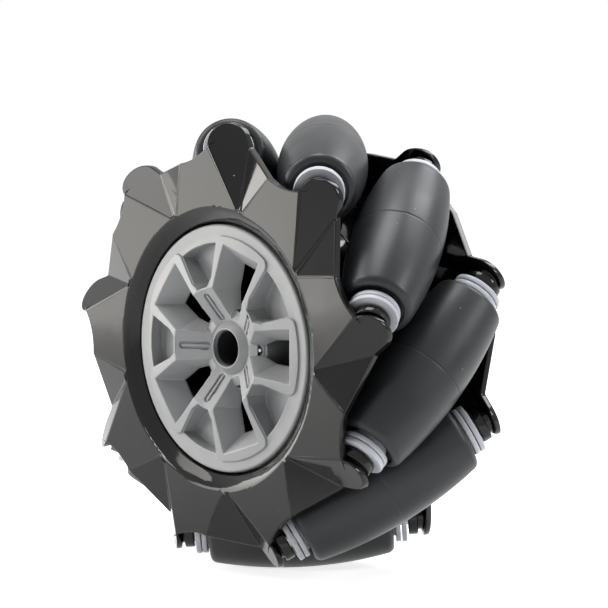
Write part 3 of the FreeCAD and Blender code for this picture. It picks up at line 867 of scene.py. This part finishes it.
@dataclass
class Roller:
    """A roller: its rubber tyre, white core, two washers and pin, and the ears' collars round the pin."""

    tyre_end_r: float = 6.06 * MM
    tyre_corner_r: float = 1.3 * MM
    recess_depth: float = 0.8 * MM
    recess_margin: float = 0.45 * MM
    lip_width: float = 0.3 * MM
    lip_drop: float = 0.1 * MM
    tube_r: float = 3.3 * MM
    flange_thick: float = 0.9 * MM
    washer_thick: float = 0.9 * MM
    pin_bore_gap: float = 0.06 * MM
    edge: float = 0.16 * MM
    seam_half: float = 0.09 * MM
    seam_depth: float = 0.05 * MM
    seam_edge: float = 0.0005 * MM
    barrel_steps: int = 40
    collar_gap: float = 0.3 * MM
    collar_length: float = 1.7 * MM
    collar_r: float = 3.25 * MM
    collar_bore: float = 2.0 * MM
    collar_edge: float = 0.25 * MM
    sizes: dict[str, tuple[float, float]] = field(default_factory=dict)

    def measure(self) -> None:
        """Read the half-lengths and largest radii of the first roller's nodes."""
        joint = frame["record"]["behaviour"]["joints"][0]
        middle, axis = Vector(joint["pos_m"]), Vector(joint["axis"]).normalized()
        for kind in ("tyre", "core", "washers", "pin"):
            ends, radii = [], []
            for vertex in frame["nodes"][f"roller_{kind}_1"].data.vertices:
                along = (vertex.co - middle).dot(axis)
                ends.append(abs(along))
                radii.append((vertex.co - middle - axis * along).length)
            self.sizes[kind] = (max(ends), max(radii))

    def tyre(self) -> bpy.types.Object:
        """The rubber barrel with rounded ends, a seam round its middle and a recess at each end.

        Returns:
            The tyre, its axis on Z.
        """
        end, barrel_r = self.sizes["tyre"]
        drop = barrel_r - self.tyre_end_r
        bulge = (end ** 2 + drop ** 2) / (2 * drop)
        recess_r = self.sizes["core"][1] + self.recess_margin
        corner_from = math.asin((end - self.tyre_corner_r) / (bulge - self.tyre_corner_r))
        corner_x = barrel_r - bulge + (bulge - self.tyre_corner_r) * math.cos(corner_from)
        side = []
        for i in range(self.barrel_steps + 1):
            angle = corner_from * i / self.barrel_steps
            side.append((barrel_r - bulge + bulge * math.cos(angle), bulge * math.sin(angle)))
        side = [point for point in side if point[1] > 2 * self.seam_half]
        side += arc_points((corner_x, end - self.tyre_corner_r), self.tyre_corner_r,
                           math.degrees(corner_from), 90, 9)[1:]
        side += [(recess_r + self.lip_width, end), (recess_r, end - self.lip_drop),
                 (recess_r, end - self.recess_depth), (self.tube_r, end - self.recess_depth)]
        seam = [(barrel_r - self.seam_edge, self.seam_half), (barrel_r - self.seam_depth, 0)]
        upper = list(reversed(side)) + seam
        lower = [(r, -z) for r, z in reversed(upper[:-1])]
        obj = turned("tyre model", upper + lower + [upper[0]], 128)
        smooth(obj, 30)
        return obj

    def core(self) -> bpy.types.Object:
        """The white core: a tube with a flange at each end.

        Returns:
            The core, its axis on Z.
        """
        end, flange_r = self.sizes["core"]
        bore = self.sizes["pin"][1] + self.pin_bore_gap
        foot = end - self.flange_thick
        obj = turned("core model", [(bore, end), (flange_r, end), (flange_r, foot), (self.tube_r, foot),
                                    (self.tube_r, -foot), (flange_r, -foot), (flange_r, -end), (bore, -end),
                                    (bore, end)])
        ease_edges(obj, self.edge, 40)
        smooth(obj)
        return obj

    def washers(self) -> bpy.types.Object:
        """The two loose washers.

        Returns:
            Both washers as one object, their axis on Z.
        """
        end, radius = self.sizes["washers"]
        bore = self.sizes["pin"][1] + self.pin_bore_gap
        pair = []
        for side in (1, -1):
            near, far = side * (end - self.washer_thick), side * end
            pair.append(turned("washer", [(bore, near), (radius, near), (radius, far), (bore, far),
                                          (bore, near)]))
        obj = joined("washer model", pair)
        ease_edges(obj, self.edge, 40)
        smooth(obj)
        return obj

    def pin(self) -> bpy.types.Object:
        """The steel pin with chamfered ends.

        Returns:
            The pin, its axis on Z.
        """
        end, radius = self.sizes["pin"]
        obj = turned("pin model", [(0, end), (radius, end), (radius, -end), (0, -end)], 64)
        ease_edges(obj, self.edge, 40, 2)
        smooth(obj)
        return obj

    def collars(self) -> bpy.types.Object:
        """The covers' walls round the pin's two ends, between the ears and the washers.

        Returns:
            Both collars as one object, their axis on Z.
        """
        near = self.sizes["washers"][0] + self.collar_gap
        pair = []
        for side in (1, -1):
            start, end = side * near, side * (near + self.collar_length)
            pair.append(turned("collar", [(self.collar_bore, start), (self.collar_r, start),
                                          (self.collar_r, end), (self.collar_bore, end),
                                          (self.collar_bore, start)], 64))
        obj = joined("collar model", pair)
        ease_edges(obj, self.collar_edge, 40)
        smooth(obj)
        return obj

    @staticmethod
    def place(joint: dict) -> Matrix:
        """Where a piece with its axis on Z goes for one roller joint.

        Args:
            joint: The joint from the record.

        Returns:
            The placing, its Z along the joint's axis.
        """
        turn = Vector(joint["axis"]).to_track_quat("Z", "Y").to_matrix().to_4x4()
        return Matrix.Translation(joint["pos_m"]) @ turn

    def build(self) -> None:
        """Model the roller once, then place a copy of each piece on every roller joint."""
        self.measure()
        joints = frame["record"]["behaviour"]["joints"]
        finishes = {"tyre": RUBBER, "core": WHITE_CORE, "washers": WHITE_WASHER, "pin": STEEL}
        materials = {kind: finish.material() for kind, finish in finishes.items()}
        models = {"tyre": self.tyre(), "core": self.core(), "washers": self.washers(), "pin": self.pin()}
        for number, joint in enumerate(joints, 1):
            for kind, finish in finishes.items():
                body = WHEEL_BODY if kind == "pin" else joint["child"]
                obj = placed_copy(models[kind], f"{kind}_{number}", self.place(joint))
                dress(obj, finish, materials[kind], body, f"roller_{kind}_{number}")
        models["collars"] = self.collars()
        copies = [placed_copy(models["collars"], f"collar_{number}", self.place(joint))
                  for number, joint in enumerate(joints, 1)]
        dress(joined("ear_collars", copies), GLOSS_BLACK, GLOSS_BLACK.material(), WHEEL_BODY)
        for model in models.values():
            bpy.data.objects.remove(model)


# Studio


@dataclass(frozen=True)
class Lamp:
    """A square soft light: its place in degrees left of and above the wheel's front, side, watts and tint."""

    name: str
    left: float
    up: float
    size: float
    power: float
    color: Color

    def add(self, distance: float) -> None:
        """Put the light in the scene, facing the wheel.

        Args:
            distance: How far it stands from the wheel's centre.
        """
        light = bpy.data.lights.new(self.name, "AREA")
        light.size = self.size
        light.energy = self.power
        light.color = self.color
        obj = bpy.data.objects.new(self.name, light)
        bpy.context.scene.collection.objects.link(obj)
        left, up = math.radians(self.left), math.radians(self.up)
        obj.location = Vector((-math.sin(left) * math.cos(up), -math.cos(left) * math.cos(up),
                               math.sin(up))) * distance
        obj.rotation_euler = (-obj.location).to_track_quat("-Z", "Y").to_euler()


LAMPS = (
    Lamp("left box", 61, 2, 0.30, 1.8, (1.0, 0.97, 0.92)),
    Lamp("front strip", 27, 13, 0.07, 0.25, (1.0, 1.0, 1.0)),
    Lamp("upper box", 42, 47, 0.20, 0.75, (1.0, 0.98, 0.95)),
    Lamp("top box", 90, 86, 0.20, 1.1, (0.95, 0.98, 1.0)),
    Lamp("side box", -119, 26, 0.12, 0.6, (0.95, 0.98, 1.0)),
    Lamp("back box", -168, 50, 0.20, 1.0, (0.95, 0.98, 1.0)),
)


@dataclass
class Studio:
    """Pale floor, soft lights and the camera at the photograph's viewing angle."""

    floor_size: float = 6.0
    floor_color: Color = (0.80, 0.80, 0.80)
    floor_roughness: float = 0.9
    floor_glow: float = 0.8
    glow_reach: tuple[float, float] = (0.05, 0.16)
    ambient: float = 0.05
    lamp_distance: float = 0.43
    eye: tuple[float, float, float] = (0.3848655, -0.3628265, 0.0557485)
    target: tuple[float, float, float] = (0.00124796, 0.00221022, 0.00668697)
    lens: float = 177.7188
    sensor: float = 36.0

    def floor(self) -> None:
        """The floor under the wheel, white to the camera but for the wheel's shadow."""
        deselect()
        bpy.ops.mesh.primitive_plane_add(size=self.floor_size, location=(0, 0, CAD_BOX[0][2]))
        obj = bpy.context.object
        obj.name = obj.data.name = "floor"
        pick(obj)
        bpy.ops.object.transform_apply(location=True, rotation=True, scale=True)
        made = bpy.data.materials.new("pale floor")
        made.use_nodes = True
        tree = made.node_tree
        shader = tree.nodes["Principled BSDF"]
        shader.inputs["Base Color"].default_value = (*self.floor_color, 1)
        shader.inputs["Roughness"].default_value = self.floor_roughness
        shader.inputs["Specular IOR Level"].default_value = 0.0
        shader.inputs["Emission Color"].default_value = (1, 1, 1, 1)
        place = tree.nodes.new("ShaderNodeTexCoord").outputs["Object"]
        away = tree.nodes.new("ShaderNodeVectorMath")
        away.operation = "LENGTH"
        tree.links.new(place, away.inputs[0])
        glow = ramp(tree, away.outputs["Value"], *self.glow_reach, self.floor_glow, 1.0)
        glow = calculate(tree, "MULTIPLY", seen_directly(tree), glow)
        tree.links.new(glow, shader.inputs["Emission Strength"])
        obj.data.materials.append(made)

    def world(self) -> None:
        """An even grey surround that the camera, metal and glass see as white."""
        made = bpy.data.worlds.new("studio")
        bpy.context.scene.world = made
        made.use_nodes = True
        tree = made.node_tree
        sky = tree.nodes["Background"]
        sky.inputs["Color"].default_value = (1, 1, 1, 1)
        strength = ramp(tree, seen_directly(tree), 0.0, 1.0, self.ambient, 1.0)
        tree.links.new(strength, sky.inputs["Strength"])

    def camera(self) -> None:
        """The camera at the photograph's place."""
        lens = bpy.data.cameras.new("camera")
        lens.lens = self.lens
        lens.sensor_width = self.sensor
        obj = bpy.data.objects.new("camera", lens)
        bpy.context.scene.collection.objects.link(obj)
        eye, target = Vector(self.eye), Vector(self.target)
        obj.location = eye
        obj.rotation_euler = (target - eye).to_track_quat("-Z", "Y").to_euler()
        bpy.context.scene.camera = obj

    def build(self) -> None:
        """Set up the whole studio."""
        self.floor()
        self.world()
        for lamp in LAMPS:
            lamp.add(self.lamp_distance)
        self.camera()
        bpy.context.scene.view_settings.view_transform = "Standard"


def seen_directly(tree: bpy.types.NodeTree) -> bpy.types.NodeSocket:
    """A mask that is 1 for what the camera, mirrors and glass see, and 0 for light that falls on the wheel.

    Args:
        tree: The node tree it goes into.

    Returns:
        The mask.
    """
    path = tree.nodes.new("ShaderNodeLightPath").outputs
    rays = calculate(tree, "MAXIMUM", path["Is Camera Ray"], path["Is Glossy Ray"])
    return calculate(tree, "MAXIMUM", rays, path["Is Transmission Ray"])


def main() -> None:
    """Build the wheel's pieces in order, then the studio."""
    logging.basicConfig(level=logging.INFO, format="%(name)s: %(message)s")
    for name in ("Cube", "Light", "Camera"):
        stray = bpy.data.objects.get(name)
        if stray:
            bpy.data.objects.remove(stray)
    FrontCover("front_shell", "front_cover", GLOSS_BLACK, 0.25 * MM, 14).build()
    MouldedPiece("rear_shell", "rear_cover", GLOSS_BLACK, 0.3 * MM, 14).build()
    RimInsert("hub_rim", "rim_insert", SATIN_GREY, 0.18 * MM, 25).build()
    MouldedPiece("hex_hub", "hex_hub_body", MATT_BLACK).build()
    MouldedPiece("shell_screws", "cover_screws", STEEL, 0.1 * MM).build()
    HubTrim().build()
    Roller().build()
    Studio().build()


if __name__ == "__main__":
    main()
